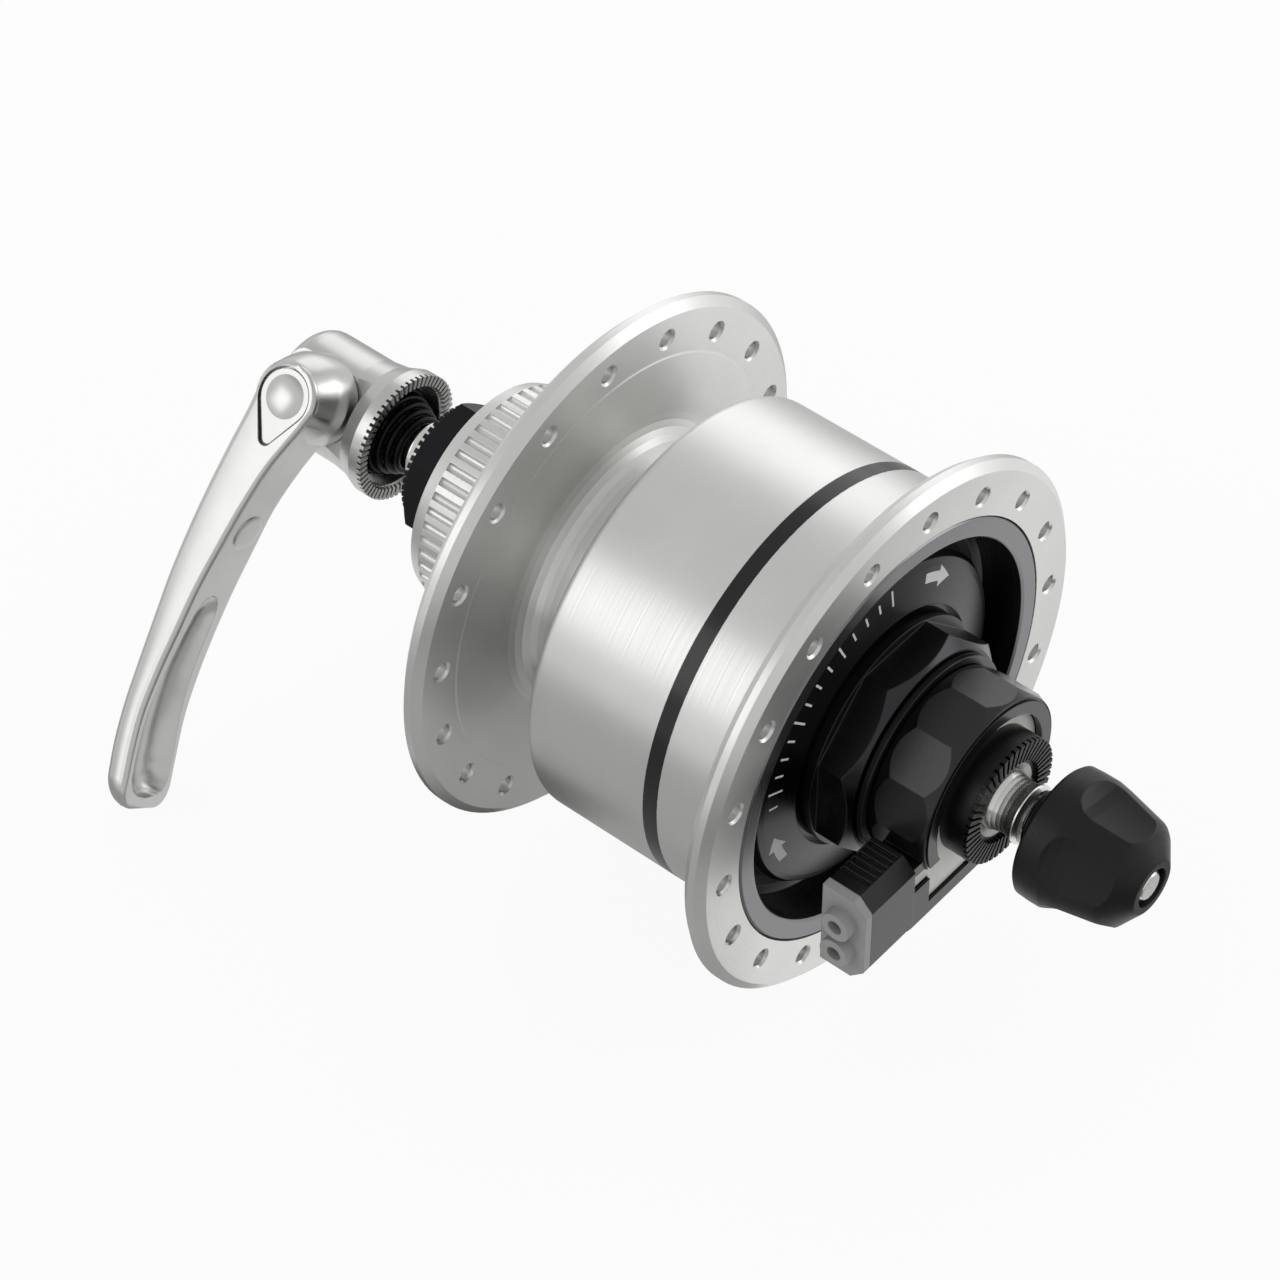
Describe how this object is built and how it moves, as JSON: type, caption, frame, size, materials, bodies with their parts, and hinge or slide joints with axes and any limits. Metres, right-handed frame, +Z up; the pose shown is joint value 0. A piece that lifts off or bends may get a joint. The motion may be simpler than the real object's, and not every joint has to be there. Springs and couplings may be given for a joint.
{
  "type": "hub dynamo",
  "caption": "Front bicycle hub with a generator inside a silver flanged shell, a splined disc brake boss, a quick-release skewer and a pull-off plug for the lamp wires.",
  "frame": {"origin": "on the axle's axis, midway between the two locknut faces", "axes": "+Y along the axle towards the quick-release lever, +X forward, +Z up; the connector is on the -Y side"},
  "size_m": [0.0926, 0.1504, 0.087],
  "materials": {
    "shell_alloy": "satin anodised, turned",
    "band_black": "gloss",
    "lid_black": "satin paint",
    "nut_black": "black oxide",
    "axle_steel": "brushed",
    "bearing_steel": "polished",
    "spacer_steel": "turned",
    "bobbin_plastic": "moulded",
    "winding_copper": "enamelled copper",
    "core_iron": "pressed sheet iron",
    "magnet_ferrite": "sintered ferrite",
    "housing_plastic": "moulded, semi-matt",
    "cap_grey": "soft moulded",
    "plate_metal": "bright sheet",
    "contact_brass": "plated",
    "seal_rubber": "moulded",
    "lever_alloy": "satin polished, forged",
    "spring_black": "black oxide wire",
    "grip_black": "moulded, matt",
    "lead_insulation": "insulated wire",
    "cage_brass": "pressed"
  },
  "bodies": {
    "axle_assembly": {"axle": "axle_steel", "left_locknut": "nut_black", "right_locknut": "nut_black", "left_spacer": "spacer_steel", "right_spacer": "spacer_steel", "left_dust_cap": "seal_rubber", "dust_washer": "housing_plastic", "left_core_spacer": "spacer_steel", "right_core_spacer": "spacer_steel", "left_bearing_inner": "bearing_steel", "right_bearing_inner": "bearing_steel", "core_sleeve": "core_iron", "left_claw_yoke": "core_iron", "right_claw_yoke": "core_iron", "coil_bobbin": "bobbin_plastic", "coil_winding": "winding_copper", "lead_wire": "lead_insulation", "terminal_housing": "housing_plastic", "terminal_plate": "plate_metal", "contact_blades": "contact_brass"},
    "shell": {"hub_shell": "shell_alloy", "shell_band": "band_black", "end_lid": "lid_black", "back_iron": "core_iron", "magnet_arcs": "magnet_ferrite", "left_bearing_outer": "bearing_steel", "right_bearing_outer": "bearing_steel", "left_seal": "seal_rubber", "lid_seal": "seal_rubber"},
    "left_ball_set": {"left_bearing_balls": "bearing_steel", "left_bearing_cage": "cage_brass"},
    "right_ball_set": {"right_bearing_balls": "bearing_steel", "right_bearing_cage": "cage_brass"},
    "skewer": {"skewer_rod": "axle_steel"},
    "cam_housing": {"cam_body": "lever_alloy", "left_spring": "spring_black"},
    "lever_arm": {"lever": "lever_alloy", "cam_shaft": "lever_alloy"},
    "nut_spring": {"right_spring": "spring_black"},
    "nut": {"nut_grip": "grip_black", "nut_insert": "axle_steel"},
    "plug": {"plug_body": "housing_plastic"},
    "plug_end": {"plug_cap": "cap_grey"}
  },
  "joints": [
    {"name": "shell_spin", "type": "hinge", "parent": "axle_assembly", "child": "shell", "pos_m": [0, 0, 0], "axis": [0, 1, 0], "continuous": true},
    {"name": "left_ball_roll", "type": "hinge", "parent": "axle_assembly", "child": "left_ball_set", "pos_m": [0, 0.028, 0], "axis": [0, 1, 0], "continuous": true},
    {"name": "right_ball_roll", "type": "hinge", "parent": "axle_assembly", "child": "right_ball_set", "pos_m": [0, -0.0285, 0], "axis": [0, 1, 0], "continuous": true},
    {"name": "skewer_turn", "type": "hinge", "parent": "axle_assembly", "child": "skewer", "pos_m": [0, 0, 0], "axis": [0, 1, 0], "continuous": true},
    {"name": "cam_slide", "type": "slide", "parent": "skewer", "child": "cam_housing", "axis": [0, 1, 0], "range_m": [0, 0.0025]},
    {"name": "lever_swing", "type": "hinge", "parent": "cam_housing", "child": "lever_arm", "pos_m": [0, 0.069, 0], "axis": [0.7749, 0, -0.632], "range_deg": [0, 180]},
    {"name": "nut_advance", "type": "slide", "parent": "skewer", "child": "nut_spring", "axis": [0, -1, 0], "range_m": [0, 0.004]},
    {"name": "nut_turn", "type": "hinge", "parent": "nut_spring", "child": "nut", "pos_m": [0, -0.065, 0], "axis": [0, -1, 0], "range_deg": [0, 1800]},
    {"name": "plug_pull", "type": "slide", "parent": "axle_assembly", "child": "plug", "axis": [-1, 0, 0], "range_m": [0, 0.012]},
    {"name": "cap_pull", "type": "slide", "parent": "plug", "child": "plug_end", "axis": [-1, 0, 0], "range_m": [0, 0.006]}
  ],
  "couplings": [
    {"joint": "left_ball_roll", "follows": "shell_spin", "ratio": 0.6},
    {"joint": "right_ball_roll", "follows": "shell_spin", "ratio": 0.6},
    {"joint": "cam_slide", "follows": "lever_swing", "m_per_rad": 0.00079577},
    {"joint": "nut_advance", "follows": "nut_turn", "m_per_rad": 0.00012732}
  ]
}
